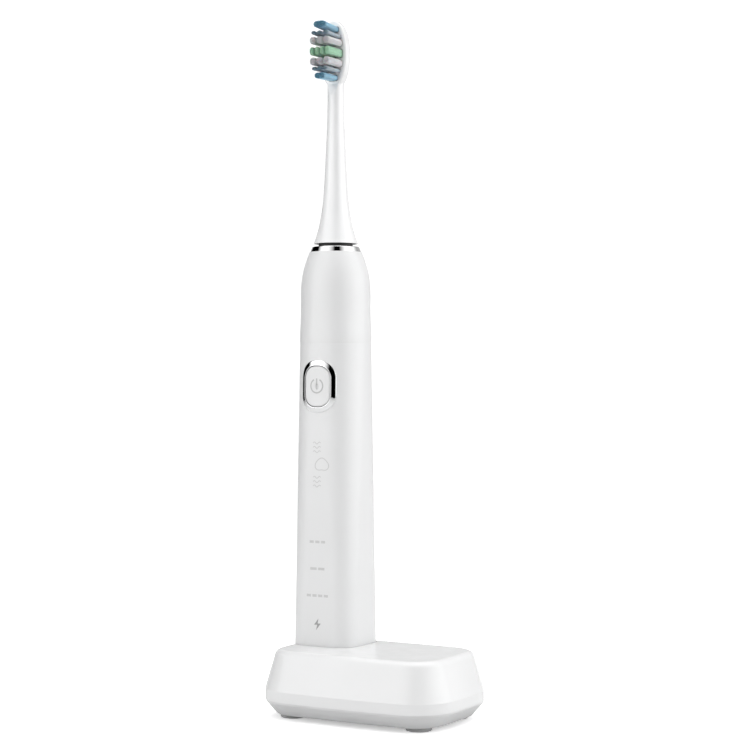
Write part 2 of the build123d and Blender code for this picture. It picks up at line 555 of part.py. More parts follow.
def head_body():
    """Neck and head in one moulding: flared skirt, slim neck and an oval plate for the tufts."""
    slim_z = HEAD_Z - HEAD_HALF_HEIGHT - 4.0
    curve = Spline(*[(r, 0, z) for r, z in NECK_CURVE], (NECK_SLIM, 0, slim_z))
    r0, z0 = NECK_CURVE[0]
    outline = curve + Polyline(
        (NECK_SLIM, 0, slim_z), (NECK_SLIM, 0, NECK_TOP), (0, 0, NECK_TOP), (0, 0, z0), (r0, 0, z0)
    )
    neck = revolve(make_face(outline), Axis.Z)
    plate_outline = Plane.XZ.offset(-HEAD_BACK_Y) * Pos(0, HEAD_Z) * Ellipse(HEAD_HALF_WIDTH, HEAD_HALF_HEIGHT)
    plate = extrude(plate_outline, HEAD_BACK_Y - HEAD_FRONT_Y)
    plate = fillet(plate.edges().group_by(Axis.Y)[-1], 2.4)
    plate = fillet(plate.edges().group_by(Axis.Y)[0], 0.8)
    ramp = Polygon(
        (-6.0, slim_z + 1.5), (-NECK_SLIM, slim_z + 1.5), (HEAD_FRONT_Y, slim_z + 6.0),
        (HEAD_FRONT_Y, NECK_TOP + 1.0), (-6.0, NECK_TOP + 1.0), align=None,
    )
    neck -= Pos(-8.0, 0, 0) * extrude(Plane.YZ * ramp, 16.0)
    body = neck + plate
    body -= Pos(0, 0, NECK_BOTTOM) * loft([Circle(8.1), Pos(0, 0, 3.2) * Circle(6.2)])
    body -= disc(INSERT_RADIUS + 0.02, NECK_BOTTOM, INSERT_TOP + 0.05)
    body -= disc(SHAFT_RADIUS + 0.15, INSERT_TOP - CUT, SHAFT_TOP + 0.6)
    body -= tuft_anchors()
    for row in TUFT_ROWS:
        body -= tuft_row(row)
    return body


def head_insert():
    """Stiff slotted sleeve in the neck that grips the shaft."""
    sleeve = ring(INSERT_RADIUS, SHAFT_RADIUS + RUNNING_GAP, INSERT_BOTTOM, INSERT_TOP)
    return sleeve - block(-0.5, 0.5, -4, 0, INSERT_BOTTOM - CUT, INSERT_BOTTOM + 5.0)


def build():
    base_pieces = [
        base_cover, base_tray, base_screws, base_gasket, charger_pcb, charger_components, usb_shell,
        usb_tongue, primary_bobbin, primary_coil, ferrite_core, coil_leads,
    ]
    for make in base_pieces:
        keep(make.__name__, make())
    for depth_name, y in (("front", -FOOT_Y), ("back", FOOT_Y)):
        for side_name, x in (("left", -FOOT_X), ("right", FOOT_X)):
            keep(f"foot_{depth_name}_{side_name}", foot(x, y))
    handle_pieces = [
        handle_housing, button_bezel, power_button, switch_plunger, button_boot, tactile_switch,
        collar_ring, seal_carrier, shaft_seal, carrier_frame, main_pcb, pcb_chips, mode_leds, light_guide,
        battery_cell, battery_tabs, battery_pad, motor_can, motor_front_cap, motor_rear_cap, stator_core,
        stator_coil, rotor_yoke, rotor_magnets, drive_shaft, bottom_cap, cap_seal, receiver_bobbin,
        receiver_coil, head_body, head_insert, tuft_anchors,
    ]
    for make in handle_pieces:
        keep(make.__name__, seat(make()))
    keep("front_bush", seat(bush(MOTOR_TOP - 1.5)))
    keep("rear_bush", seat(bush(MOTOR_BOTTOM + 1.0)))
    for number, row in enumerate(TUFT_ROWS, start=1):
        keep(f"tuft_row_{number}_{row[0]}", seat(tuft_row(row)))


build()
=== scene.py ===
# %% [markdown]
# # A sonic toothbrush standing on its charging base
# The CAD model holds every size and every moving joint. This file gives it its looks: finishes for the
# moulded shells, polished trim round the button, printed marks, and brush tufts made of real filaments.
# Everything is in metres in the CAD model's own frame, so a piece goes where the CAD says.

# %% Load the CAD model
import json
import math
import random

import bmesh
import bpy
from mathutils import Matrix, Vector
from mathutils.bvhtree import BVHTree


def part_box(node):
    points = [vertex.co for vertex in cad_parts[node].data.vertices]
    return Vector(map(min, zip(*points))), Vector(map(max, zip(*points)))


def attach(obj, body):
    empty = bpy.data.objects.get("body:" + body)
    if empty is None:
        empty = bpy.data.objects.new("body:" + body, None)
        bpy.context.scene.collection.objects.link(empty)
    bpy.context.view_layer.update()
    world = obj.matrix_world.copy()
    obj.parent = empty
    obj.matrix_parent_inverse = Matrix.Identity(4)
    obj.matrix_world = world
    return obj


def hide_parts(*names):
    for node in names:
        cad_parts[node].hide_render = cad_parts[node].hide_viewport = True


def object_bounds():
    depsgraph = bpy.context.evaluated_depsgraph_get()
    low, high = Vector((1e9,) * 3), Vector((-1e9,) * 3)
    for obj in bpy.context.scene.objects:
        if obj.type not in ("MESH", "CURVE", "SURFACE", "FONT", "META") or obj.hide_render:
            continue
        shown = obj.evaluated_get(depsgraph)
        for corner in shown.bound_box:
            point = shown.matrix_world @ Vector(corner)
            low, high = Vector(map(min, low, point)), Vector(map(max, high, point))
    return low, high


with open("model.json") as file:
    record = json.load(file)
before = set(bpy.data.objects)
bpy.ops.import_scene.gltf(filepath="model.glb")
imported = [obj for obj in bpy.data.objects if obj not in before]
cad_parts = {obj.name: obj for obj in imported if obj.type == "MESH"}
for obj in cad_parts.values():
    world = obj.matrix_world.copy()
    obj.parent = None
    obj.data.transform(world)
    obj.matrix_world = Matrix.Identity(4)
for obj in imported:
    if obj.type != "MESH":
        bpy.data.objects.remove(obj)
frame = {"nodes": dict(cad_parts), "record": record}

MM = 0.001
cad_box = [list(corner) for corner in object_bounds()]
nodes = frame["nodes"]
print("CAD nodes:", len(nodes), "box in mm:", [[round(c / MM, 1) for c in corner] for corner in cad_box])

# %% [markdown]
# ## Camera
# The camera comes first, because every later choice is judged through it. A long lens from about
# three quarters of a metre keeps the tall thin object upright and almost free of perspective. It looks
# level, from a little above the middle of the handle, and stands to the right of the button's side.

# %% Camera
handle_low, handle_high = (Vector(corner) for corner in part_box("handle_housing"))
handle_axis = Vector(((handle_low.x + handle_high.x) / 2, (handle_low.y + handle_high.y) / 2, 0))
VIEW_TURN = math.radians(30)
CAMERA_DISTANCE, CAMERA_HEIGHT, CAMERA_ASIDE = 735 * MM, 132.15 * MM, 15.6 * MM
SENSOR_WIDTH, LENS = 36, 88.9


def around(turn):
    """A level direction, counted from the side that the button faces towards the object's right."""
    return Vector((math.sin(turn), -math.cos(turn), 0))


camera_data = bpy.data.cameras.new("camera")
camera_data.lens = LENS
camera_data.sensor_width = SENSOR_WIDTH
camera = bpy.data.objects.new("camera", camera_data)
bpy.context.scene.collection.objects.link(camera)
to_right = Vector((math.cos(VIEW_TURN), math.sin(VIEW_TURN), 0))
camera.location = handle_axis + around(VIEW_TURN) * CAMERA_DISTANCE + to_right * CAMERA_ASIDE
camera.location.z = CAMERA_HEIGHT
camera.rotation_euler = (math.pi / 2, 0, VIEW_TURN)
bpy.context.scene.camera = camera
bpy.context.scene.view_settings.view_transform = "Standard"
print("camera at", [round(c, 3) for c in camera.location])

# %% [markdown]
# ## Helpers for pieces
# A new piece is modelled in a bmesh and then becomes an object at the origin, with its place in its
# vertices, just as the CAD nodes are. These two helpers do that and give it its body and finish.

# %% Piece helpers
def edges_of(verts):
    """The edges at some points, in an order that is the same in every run, which a set's is not."""
    return list(dict.fromkeys(edge for vert in verts for edge in vert.link_edges))


def to_object(name, bm, smooth=True):
    """Turns a bmesh into an object at the origin, with its normals outward."""
    bmesh.ops.recalc_face_normals(bm, faces=bm.faces)
    mesh = bpy.data.meshes.new(name)
    bm.to_mesh(mesh)
    bm.free()
    if smooth:
        mesh.shade_smooth()
    piece = bpy.data.objects.new(name, mesh)
    bpy.context.scene.collection.objects.link(piece)
    return piece


def fit_out(piece, body, material, stands_for=()):
    """Gives a piece its body and its material, and hides the CAD nodes that it stands for."""
    piece.data.materials.append(material)
    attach(piece, body)
    if stands_for:
        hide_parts(*stands_for)
    print(piece.name, "has", len(piece.data.polygons), "faces and rides on", body)


# %% [markdown]
# ## Shared surface effects
# Real moulded plastic is never one flat colour: the tone drifts a little over a large face, the gloss
# drifts where fingers have been, and the mould leaves a fine grain. Those three effects are one node
# group, which each plastic uses with its own colours, sizes and gloss.

# %% The moulded-surface group
def new_group(name, inputs, outputs):
    group = bpy.data.node_groups.new(name, "ShaderNodeTree")
    for label, kind, value in inputs:
        socket = group.interface.new_socket(label, in_out="INPUT", socket_type=kind)
        if value is not None:
            socket.default_value = value
    for label, kind in outputs:
        group.interface.new_socket(label, in_out="OUTPUT", socket_type=kind)
    return group, group.nodes.new("NodeGroupInput"), group.nodes.new("NodeGroupOutput")


def add(tree, kind, **values):
    """Adds a node. A value goes to the property of that name, or to the input socket of that name."""
    node = tree.nodes.new(kind)
    for name, value in values.items():
        if hasattr(node, name):
            setattr(node, name, value)
        else:
            node.inputs[name.replace("_", " ").title()].default_value = value
    return node


def noise(tree, vector, scale, detail=2.0, roughness=0.5):
    node = add(tree, "ShaderNodeTexNoise", detail=detail, roughness=roughness)
    tree.links.new(vector, node.inputs["Vector"])
    if isinstance(scale, (int, float)):
        node.inputs["Scale"].default_value = scale
    else:
        tree.links.new(scale, node.inputs["Scale"])
    return node.outputs["Fac"]


def spread(tree, value, low, high, from_low=0.3, from_high=0.7):
    """Stretches a noise, which stays near its middle, over the range from low to high."""
    node = add(tree, "ShaderNodeMapRange")
    tree.links.new(value, node.inputs["Value"])
    node.inputs["From Min"].default_value = from_low
    node.inputs["From Max"].default_value = from_high
    for name, bound in (("To Min", low), ("To Max", high)):
        if isinstance(bound, (int, float)):
            node.inputs[name].default_value = bound
        else:
            tree.links.new(bound, node.inputs[name])
    return node.outputs["Result"]


def blend_colours(tree, factor, first, second):
    node = add(tree, "ShaderNodeMix", data_type="RGBA")
    tree.links.new(factor, node.inputs["Factor"])
    for index, colour in ((6, first), (7, second)):
        if isinstance(colour, tuple):
            node.inputs[index].default_value = colour
        else:
            tree.links.new(colour, node.inputs[index])
    return node.outputs[2]


FLOAT, COLOUR, VECTOR = "NodeSocketFloat", "NodeSocketColor", "NodeSocketVector"
moulded, ends_in, ends_out = new_group(
    "moulded surface",
    [
        ("Vector", VECTOR, None),
        ("Colour", COLOUR, (0.8, 0.8, 0.8, 1)),
        ("Drift", COLOUR, (0.7, 0.7, 0.7, 1)),
        ("Grain Scale", FLOAT, 4000.0),
        ("Gloss Low", FLOAT, 0.2),
        ("Gloss High", FLOAT, 0.3),
    ],
    [("Colour", COLOUR), ("Roughness", FLOAT), ("Height", FLOAT)],
)
where = ends_in.outputs["Vector"]
drift = spread(moulded, noise(moulded, where, 45.0, 3.0), 0.0, 1.0)
drifted = blend_colours(moulded, drift, ends_in.outputs["Colour"], ends_in.outputs["Drift"])
moulded.links.new(drifted, ends_out.inputs["Colour"])
touched = noise(moulded, where, 140.0, 4.0, 0.6)
moulded.links.new(
    spread(moulded, touched, ends_in.outputs["Gloss Low"], ends_in.outputs["Gloss High"]),
    ends_out.inputs["Roughness"],
)
moulded.links.new(noise(moulded, where, ends_in.outputs["Grain Scale"], 3.0), ends_out.inputs["Height"])
print("group", moulded.name, "ready")

# %% [markdown]
# A finish then places the group, adds a Bump node for the grain, and sets what is the same all over,
# such as the specular level, on the Principled shader's own sockets.

# %% Moulded finishes
def shader_of(name):
    """A new material, its node tree and its Principled shader."""
    material = bpy.data.materials.new(name)
    material.use_nodes = True
    return material, material.node_tree, material.node_tree.nodes["Principled BSDF"]


def object_place(tree, stretch=(1, 1, 1)):
    coordinates = tree.nodes.new("ShaderNodeTexCoord")
    mapping = tree.nodes.new("ShaderNodeMapping")
    mapping.inputs["Scale"].default_value = stretch
    tree.links.new(coordinates.outputs["Object"], mapping.inputs["Vector"])
    return mapping.outputs["Vector"]


def grey(level, tint=0.0):
    """A nearly neutral colour, a touch cooler for a positive tint."""
    return (level * (1 - tint), level, level * (1 + tint), 1)


def grain(tree, shader, height, depth):
    bump = add(tree, "ShaderNodeBump", distance=depth)
    bump.inputs["Strength"].default_value = 1.0
    tree.links.new(height, bump.inputs["Height"])
    tree.links.new(bump.outputs["Normal"], shader.inputs["Normal"])


def moulded_finish(name, colour, drift_to, gloss, grain_scale=4000.0, grain_depth=0.004 * MM, **sockets):
    material, tree, shader = shader_of(name)
    group = tree.nodes.new("ShaderNodeGroup")
    group.node_tree = moulded
    tree.links.new(object_place(tree), group.inputs["Vector"])
    group.inputs["Colour"].default_value = colour
    group.inputs["Drift"].default_value = drift_to
    group.inputs["Grain Scale"].default_value = grain_scale
    group.inputs["Gloss Low"].default_value, group.inputs["Gloss High"].default_value = gloss
    tree.links.new(group.outputs["Colour"], shader.inputs["Base Color"])
    tree.links.new(group.outputs["Roughness"], shader.inputs["Roughness"])
    grain(tree, shader, group.outputs["Height"], grain_depth)
    for socket, value in sockets.items():
        shader.inputs[socket.replace("_", " ").title().replace("Ior", "IOR")].default_value = value
    return material


finishes = {
    # Below a roughness of about 0.28 the denoiser leaves patches on this shell, so its gloss stays above.
    "white_satin_shell": moulded_finish(
        "satin white shell", grey(0.735, 0.004), grey(0.725, 0.003), (0.285, 0.325), 3600.0, 0.001 * MM,
        specular_ior_level=0.75,
    ),
    "white_gloss_shell": moulded_finish(
        "gloss white shell", grey(0.77, 0.003), grey(0.755, 0.003), (0.13, 0.19), 3000.0, 0.0008 * MM
    ),
    "grey_white_tray": moulded_finish(
        "textured tray", grey(0.65, 0.004), grey(0.62, 0.004), (0.4, 0.5), 3600.0, 0.01 * MM
    ),
    "white_button": moulded_finish(
        "button cap", grey(0.74, 0.003), grey(0.73, 0.003), (0.2, 0.26), 5200.0, 0.002 * MM
    ),
    "white_head": moulded_finish(
        "gloss white neck", grey(0.82, 0.004), grey(0.805, 0.004), (0.07, 0.12), 2600.0, 0.0006 * MM,
        specular_ior_level=1.0,
    ),
    "grey_cap": moulded_finish(
        "satin end cap", grey(0.66, 0.004), grey(0.64, 0.004), (0.35, 0.45), 4200.0, 0.006 * MM
    ),
    "grey_rubber": moulded_finish(
        "grey rubber foot", grey(0.42, 0.004), grey(0.38, 0.004), (0.6, 0.75), 2200.0, 0.02 * MM
    ),
    "black_seal": moulded_finish(
        "black seal", grey(0.02), grey(0.028), (0.45, 0.6), 3000.0, 0.01 * MM
    ),
    "clear_seal_rubber": moulded_finish(
        "milky silicone", grey(0.55, 0.01), grey(0.5, 0.01), (0.4, 0.55), 1800.0, 0.01 * MM
    ),
    "component_black": moulded_finish(
        "black moulding compound", grey(0.03), grey(0.045), (0.45, 0.6), 5000.0, 0.01 * MM
    ),
    "inner_moulding": moulded_finish(
        "dark engineering plastic", grey(0.08, 0.02), grey(0.1, 0.02), (0.4, 0.55), 2600.0, 0.01 * MM
    ),
    "ferrite": moulded_finish("sintered ferrite", grey(0.05), grey(0.08), (0.6, 0.8), 1500.0, 0.02 * MM),
    "foam": moulded_finish("closed-cell foam", grey(0.03), grey(0.06), (0.8, 0.95), 1400.0, 0.08 * MM),
    "lamp": moulded_finish("lamp resin", (0.8, 0.78, 0.5, 1), (0.7, 0.68, 0.42, 1), (0.15, 0.25), 2600.0),
    "battery_sleeve": moulded_finish(
        "shrink sleeve", (0.03, 0.12, 0.28, 1), (0.04, 0.15, 0.33, 1), (0.2, 0.35), 900.0, 0.01 * MM
    ),
    "wire_sleeve": moulded_finish(
        "silicone wire sleeve", (0.4, 0.03, 0.03, 1), (0.33, 0.03, 0.03, 1), (0.35, 0.5), 2000.0
    ),
}
print("moulded finishes:", len(finishes))

# %% [markdown]
# ## Metals
# Chrome plating is a mirror with a barely visible orange peel and a few soft smears. Turned and drawn
# steel carry fine lines, made by a noise that is squeezed hard along one axis.

# %% The drawn-metal group and the metal finishes
drawn, ends_in, ends_out = new_group(
    "drawn metal",
    [("Vector", VECTOR, None), ("Gloss Low", FLOAT, 0.2), ("Gloss High", FLOAT, 0.4)],
    [("Roughness", FLOAT), ("Height", FLOAT)],
)
lines = noise(drawn, ends_in.outputs["Vector"], 1.0, 4.0, 0.7)
line_gloss = spread(drawn, lines, ends_in.outputs["Gloss Low"], ends_in.outputs["Gloss High"])
drawn.links.new(line_gloss, ends_out.inputs["Roughness"])
drawn.links.new(lines, ends_out.inputs["Height"])


def metal_finish(name, colour, drift_to, gloss, lines_per_metre, depth):
    material, tree, shader = shader_of(name)
    group = tree.nodes.new("ShaderNodeGroup")
    group.node_tree = drawn
    place = object_place(tree, lines_per_metre)
    tree.links.new(place, group.inputs["Vector"])
    group.inputs["Gloss Low"].default_value, group.inputs["Gloss High"].default_value = gloss
    tone = spread(tree, noise(tree, object_place(tree), 300.0), 0.0, 1.0)
    tree.links.new(blend_colours(tree, tone, colour, drift_to), shader.inputs["Base Color"])
    tree.links.new(group.outputs["Roughness"], shader.inputs["Roughness"])
    grain(tree, shader, group.outputs["Height"], depth)
    shader.inputs["Metallic"].default_value = 1.0
    return material


TURNED, DRAWN_UP, PEEL = (200, 200, 9000), (9000, 9000, 200), (700, 700, 700)
finishes["chrome_trim"] = metal_finish(
    "polished chrome", grey(0.86, 0.004), grey(0.82, 0.004), (0.03, 0.06), PEEL, 0.0003 * MM
)
finishes["steel"] = metal_finish("drawn steel", grey(0.52), grey(0.46), (0.22, 0.4), TURNED, 0.002 * MM)
finishes["magnet"] = metal_finish(
    "nickel plating", grey(0.5, -0.02), grey(0.44, -0.02), (0.2, 0.3), PEEL, 0.001 * MM
)
finishes["bronze"] = metal_finish(
    "sintered bronze", (0.5, 0.33, 0.16, 1), (0.4, 0.25, 0.12, 1), (0.4, 0.6), (2500, 2500, 2500), 0.01 * MM
)
finishes["nickel_strip"] = metal_finish(
    "nickel strip", grey(0.6, -0.02), grey(0.54, -0.02), (0.25, 0.4), DRAWN_UP, 0.002 * MM
)
finishes["staple_metal"] = metal_finish(
    "brass strip", (0.7, 0.52, 0.24, 1), (0.6, 0.44, 0.2, 1), (0.2, 0.35), DRAWN_UP, 0.002 * MM
)
print("finishes so far:", len(finishes))

# %% [markdown]
# ## Wound wire, circuit board and clear plastic
# The windings are plain rings in CAD. A wave along the spool's axis gives them turns of wire in height,
# and bands of colour that are painted shade in the grooves and painted highlight on the crowns of the
# turns. The board gets its solder mask, with the copper tracks as a faint relief.

# %% Inside finishes
def wound_copper():
    material, tree, shader = shader_of("enamelled copper turns")
    wave = add(tree, "ShaderNodeTexWave", wave_type="BANDS", bands_direction="Z", scale=900.0, distortion=0.3)
    tree.links.new(object_place(tree), wave.inputs["Vector"])
    turns = wave.outputs["Fac"]
    # Painted shade in the grooves between turns and painted highlight on their crowns, set by the wave.
    shade, shine = (0.16, 0.05, 0.02, 1), (0.62, 0.25, 0.1, 1)
    tree.links.new(blend_colours(tree, turns, shade, shine), shader.inputs["Base Color"])
    tree.links.new(spread(tree, turns, 0.45, 0.25, 0.0, 1.0), shader.inputs["Roughness"])
    grain(tree, shader, turns, 0.05 * MM)
    shader.inputs["Metallic"].default_value = 0.85
    return material


def solder_mask():
    material, tree, shader = shader_of("green solder mask")
    tracks = add(tree, "ShaderNodeTexBrick", scale=260.0, mortar_size=0.06)
    tracks.inputs["Color1"].default_value = (0.01, 0.085, 0.035, 1)
    tracks.inputs["Color2"].default_value = (0.008, 0.07, 0.03, 1)
    tracks.inputs["Mortar"].default_value = (0.02, 0.14, 0.055, 1)
    tree.links.new(object_place(tree), tracks.inputs["Vector"])
    tree.links.new(tracks.outputs["Color"], shader.inputs["Base Color"])
    tree.links.new(spread(tree, tracks.outputs["Fac"], 0.3, 0.2, 0.0, 1.0), shader.inputs["Roughness"])
    grain(tree, shader, tracks.outputs["Fac"], 0.02 * MM)
    return material


def clear_plastic():
    material, tree, shader = shader_of("clear polycarbonate")
    shader.inputs["Transmission Weight"].default_value = 1.0
    shader.inputs["IOR"].default_value = 1.58
    flow = noise(tree, object_place(tree, (1, 1, 0.2)), 500.0)
    tree.links.new(spread(tree, flow, 0.03, 0.12), shader.inputs["Roughness"])
    tree.links.new(blend_colours(tree, flow, grey(0.9, 0.01), grey(0.84, 0.01)), shader.inputs["Base Color"])
    return material


finishes["copper_wire"] = wound_copper()
finishes["board"] = solder_mask()
finishes["light_guide"] = clear_plastic()
print("finishes so far:", len(finishes))

# %% [markdown]
# ## Nylon filaments
# Every tuft is a bundle of round nylon filaments, tinted in the mass. A noise that is very fine across
# the filaments and very long along them makes neighbours differ a little. The cut tips are painted
# darker, as painted shade on the tip faces. How far along a filament a point lies is stored
# on the mesh as an attribute, so the material needs no measured place.

# %% Bristle finish
def bristle_finish(name, colour, shaded_tip_colour):
    material, tree, shader = shader_of(name)
    along = tree.nodes.new("ShaderNodeAttribute")
    along.attribute_name = "along"
    strands = noise(tree, object_place(tree, (1, 0.03, 1)), 2600.0, 1.0)
    shade = tuple(c * 0.8 for c in colour[:3]) + (1,)
    body = blend_colours(tree, spread(tree, strands, 0.0, 1.0), colour, shade)
    # Painted shade: the last part of each filament is blended towards the darker tip colour.
    tip_shade = spread(tree, along.outputs["Fac"], 0.0, 1.0, 0.86, 1.0)
    tree.links.new(blend_colours(tree, tip_shade, body, shaded_tip_colour), shader.inputs["Base Color"])
    tree.links.new(spread(tree, strands, 0.28, 0.4), shader.inputs["Roughness"])
    shader.inputs["Subsurface Weight"].default_value = 0.15
    shader.inputs["Subsurface Scale"].default_value = 0.4 * MM
    return material


# The second colour of each filament finish is the painted shade on its cut tips.
finishes["bristle_blue"] = bristle_finish("blue filament", (0.38, 0.64, 0.80, 1), (0.14, 0.33, 0.45, 1))
finishes["bristle_slate"] = bristle_finish("slate filament", (0.48, 0.56, 0.62, 1), (0.19, 0.29, 0.35, 1))
finishes["bristle_grey"] = bristle_finish("grey filament", (0.74, 0.75, 0.77, 1), (0.64, 0.65, 0.67, 1))
finishes["bristle_green"] = bristle_finish("green filament", (0.46, 0.74, 0.54, 1), (0.43, 0.69, 0.51, 1))
print("all finishes:", len(finishes))

# %% [markdown]
# ## Dress the CAD nodes
# Each CAD node already knows its material slot, so one loop dresses them all.

# %% Materials on the CAD nodes
for entry in frame["record"]["subparts"]:
    node = nodes[entry["node"]]
    node.data.materials.clear()
    node.data.materials.append(finishes[entry["material_slot"]])

# %% [markdown]
# ## The handle's skin
# The bezel, the button and the printed marks all lie on the handle's curved front. A ray from in front
# finds that skin. Where the button's opening has cut it away, it is read just above and just below, and
# the two are joined by a straight line, because the handle's form is straight there.

# %% Find the skin
HANDLE = "handle"
bezel_low, bezel_high = (Vector(corner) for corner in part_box("button_bezel"))
button_low, button_high = (Vector(corner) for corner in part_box("power_button"))
button_centre = (bezel_low + bezel_high) / 2
skin_source = bmesh.new()
skin_source.from_mesh(nodes["handle_housing"].data)
skin_tree = BVHTree.FromBMesh(skin_source)
skin_source.free()
SKIN_MARGIN = 1.2 * MM


def skin_hit(x, z):
    hit = skin_tree.ray_cast(Vector((x, -0.1, z)), Vector((0, 1, 0)))[0]
    return hit.y


def skin(x, z):
    """How far forward the handle's front is, as if the button's opening weren't there."""
    low, high = bezel_low.z - SKIN_MARGIN, bezel_high.z + SKIN_MARGIN
    if not low < z < high:
        return skin_hit(x, z)
    share = (z - low) / (high - low)
    return skin_hit(x, low) * (1 - share) + skin_hit(x, high) * share


print("skin at the button stands at", round(skin(button_centre.x, button_centre.z) / MM, 2), "mm")

# %% [markdown]
# ## Bright bezel
# The bezel is a rounded ring of chrome whose face slopes up from the handle's skin to a narrow rim at
# the button. The slope matters: it turns the ring's two sides towards the dark parts of the studio and
# its ends towards the bright ones. The ring lies on a curved skin, so it is built as a stack of rounded
# loops, each at its own height over the skin, joined by bridging.

# %% Bezel
LOOP_POINTS = 96
BEZEL_CORNER, CAP_CORNER = 6.9 * MM, 4.8 * MM
BEZEL_SIZE = (bezel_high.x - bezel_low.x, bezel_high.z - bezel_low.z, BEZEL_CORNER)
CAP_SIZE = (button_high.x - button_low.x, button_high.z - button_low.z, CAP_CORNER)
GAP = 0.25 * MM


def grown(size, by):
    return (size[0] + 2 * by, size[1] + 2 * by, size[2] + by)


def between(first, second, share):
    return tuple(a + (b - a) * share for a, b in zip(first, second))


def skin_loop(bm, size, lift):
    """A rounded-rectangle loop of edges round the button, at a height over the handle's skin."""
    width, height, corner = size
    corner = max(corner, 0.0)
    verts = bmesh.ops.create_circle(bm, cap_ends=False, radius=1, segments=LOOP_POINTS)["verts"]
    for vert in verts:
        side, up = vert.co.x, vert.co.y
        reach_x = math.copysign(width / 2 - corner, side) if abs(side) > 1e-6 else 0
        reach_z = math.copysign(height / 2 - corner, up) if abs(up) > 1e-6 else 0
        x, z = button_centre.x + reach_x + corner * side, button_centre.z + reach_z + corner * up
        vert.co = (x, skin(x, z) - lift, z)
    return edges_of(verts)


def bridge_stack(bm, loops):
    for first, second in zip(loops, loops[1:]):
        bmesh.ops.bridge_loops(bm, edges=first + second)


BEZEL_CROWN = 0.62 * MM
# Each pair is the share of the way from the outer edge to the inner one, and the height in crowns.
SLOPE = [
    (0.0, -1.1), (0.0, 0.14), (0.008, 0.22), (0.03, 0.28), (0.18, 0.40), (0.34, 0.53), (0.5, 0.66),
    (0.64, 0.77), (0.76, 0.87), (0.85, 0.94), (0.91, 0.97), (0.96, 0.96), (0.99, 0.92), (1.0, 0.85),
    (1.0, -1.1),
]
bm = bmesh.new()
inner_size = grown(CAP_SIZE, GAP)
loops = [skin_loop(bm, between(BEZEL_SIZE, inner_size, share), lift * BEZEL_CROWN) for share, lift in SLOPE]
bridge_stack(bm, loops + loops[:1])
bezel = to_object("chrome_bezel", bm)
fit_out(bezel, HANDLE, finishes["chrome_trim"], ["button_bezel"])

# %% [markdown]
# ## Button cap
# The cap follows the same skin. Its rim is rounded over a few loops, and its face is closed by loops
# that shrink towards the middle, so that the face can dip a little where the thumb presses. A skirt
# runs back into the opening, so that nothing shows behind the gap.

# %% Button cap
CAP_CROWN, CAP_FOOT, RIM = 0.62 * MM, -1.4 * MM, 0.5 * MM
RIM_STEPS, FACE_STEPS, DISH, MIDDLE = 6, 9, 0.12 * MM, 0.03
bm = bmesh.new()
profile = [(CAP_SIZE, CAP_FOOT), (CAP_SIZE, CAP_CROWN - RIM)]
for step in range(1, RIM_STEPS + 1):
    turn = math.pi / 2 * step / RIM_STEPS
    inset = RIM * (1 - math.cos(turn))
    profile.append((grown(CAP_SIZE, -inset), CAP_CROWN - RIM + RIM * math.sin(turn)))
rim_size = grown(CAP_SIZE, -RIM)
for step in range(1, FACE_STEPS):
    share = 1 - step / FACE_STEPS
    size = tuple(value * share for value in rim_size)
    profile.append((size, CAP_CROWN - DISH * (1 - share**2)))
profile.append((tuple(value * MIDDLE for value in rim_size), CAP_CROWN - DISH))
loops = [skin_loop(bm, size, lift) for size, lift in profile]
bridge_stack(bm, loops)
bmesh.ops.contextual_create(bm, geom=loops[-1])
bmesh.ops.contextual_create(bm, geom=loops[0])
cap = to_object("button_cap", bm)
fit_out(cap, "button", finishes["white_button"], ["power_button"])

# %% [markdown]
# ## Printed marks
# The marks are pad-printed ink. Each is a flat outline made of strokes, cut into short pieces and laid
# on the skin, standing proud by a fiftieth of a millimetre, with a real edge. The labels are generic
# bars and waves, and the power and charging signs are the common ones.

# %% Ink
def ink_finish(name, level):
    material, tree, shader = shader_of(name)
    speckle = noise(tree, object_place(tree), 3500.0, 3.0)
    tree.links.new(
        blend_colours(tree, spread(tree, speckle, 0.0, 1.0), grey(level), grey(level * 1.18)),
        shader.inputs["Base Color"],
    )
    tree.links.new(spread(tree, speckle, 0.35, 0.5), shader.inputs["Roughness"])
    return material


INK_LIFT, INK_DEPTH, INK_SLICE = 0.004 * MM, 0.02 * MM, 0.3 * MM


def stroke(bm, points, width, closed=False):
    """A ribbon of one width along points in the mark's plane, x to the right and z up."""
    count = len(points)
    rails = []
    for index, point in enumerate(points):
        before = points[index - 1] if index or closed else point
        after = points[(index + 1) % count] if index < count - 1 or closed else point
        run = (Vector(after) - Vector(before)).normalized()
        across = Vector((-run.y, run.x)) * width / 2
        rails.append([bm.verts.new((point[0] + s * across.x, 0, point[1] + s * across.y)) for s in (-1, 1)])
    pairs = list(zip(rails, rails[1:])) + ([(rails[-1], rails[0])] if closed else [])
    for (low_a, high_a), (low_b, high_b) in pairs:
        bm.faces.new((low_a, low_b, high_b, high_a))


def arc(centre, radius_x, radius_z, start, end, steps=40):
    turns = [math.radians(start + (end - start) * step / steps) for step in range(steps + 1)]
    return [(centre[0] + radius_x * math.cos(t), centre[1] + radius_z * math.sin(t)) for t in turns]


def lay_on_skin(bm, lift_of):
    """Slices a flat mark into narrow strips, lays them on the skin and gives the ink its thickness."""
    left, right = min(vert.co.x for vert in bm.verts), max(vert.co.x for vert in bm.verts)
    x = left + INK_SLICE
    while x < right:
        everything = list(bm.verts) + list(bm.edges) + list(bm.faces)
        bmesh.ops.bisect_plane(bm, geom=everything, plane_co=(x, 0, 0), plane_no=(1, 0, 0))
        x += INK_SLICE
    for vert in bm.verts:
        vert.co.y = lift_of(vert.co.x, vert.co.z)
    faces = list(bm.faces)
    made = bmesh.ops.extrude_face_region(bm, geom=faces)
    raised = [item for item in made["geom"] if isinstance(item, bmesh.types.BMVert)]
    bmesh.ops.translate(bm, verts=raised, vec=(0, -INK_DEPTH, 0))


